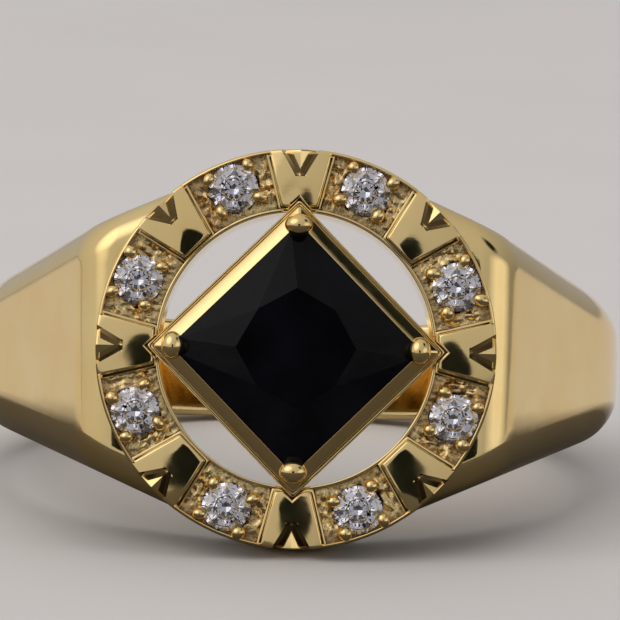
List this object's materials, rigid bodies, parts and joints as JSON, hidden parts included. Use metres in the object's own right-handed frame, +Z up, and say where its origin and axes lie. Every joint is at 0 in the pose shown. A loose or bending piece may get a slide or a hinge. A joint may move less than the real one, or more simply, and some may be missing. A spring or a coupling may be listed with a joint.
{
  "type": "signet ring",
  "caption": "Finger ring with a round open halo head of raised blocks and small brilliants, a square black stone on its corner in a clawed collet, and wide rounded shoulders.",
  "frame": {"origin": "centre of the finger bore, halfway along it", "axes": "+Z up, with the ring lying by itself on the edge of its head and the back of its band; the face points to -Y and leans back 13.05 degrees; +X is to the right when the face is looked at"},
  "size_m": [0.0232, 0.0264, 0.0137],
  "materials": {
    "polished_gold": "polished yellow gold",
    "clear_stone": "faceted, polished, colourless",
    "black_stone": "faceted, polished, opaque black"
  },
  "bodies": {
    "root": {"shank": "polished_gold", "halo_head": "polished_gold", "centre_collet": "polished_gold", "claw_top": "polished_gold", "claw_right": "polished_gold", "claw_bottom": "polished_gold", "claw_left": "polished_gold", "centre_stone": "black_stone", "accent_stone_1": "clear_stone", "accent_stone_2": "clear_stone", "accent_stone_3": "clear_stone", "accent_stone_4": "clear_stone", "accent_stone_5": "clear_stone", "accent_stone_6": "clear_stone", "accent_stone_7": "clear_stone", "accent_stone_8": "clear_stone", "accent_grains_1": "polished_gold", "accent_grains_2": "polished_gold", "accent_grains_3": "polished_gold", "accent_grains_4": "polished_gold", "accent_grains_5": "polished_gold", "accent_grains_6": "polished_gold", "accent_grains_7": "polished_gold", "accent_grains_8": "polished_gold"}
  },
  "joints": []
}
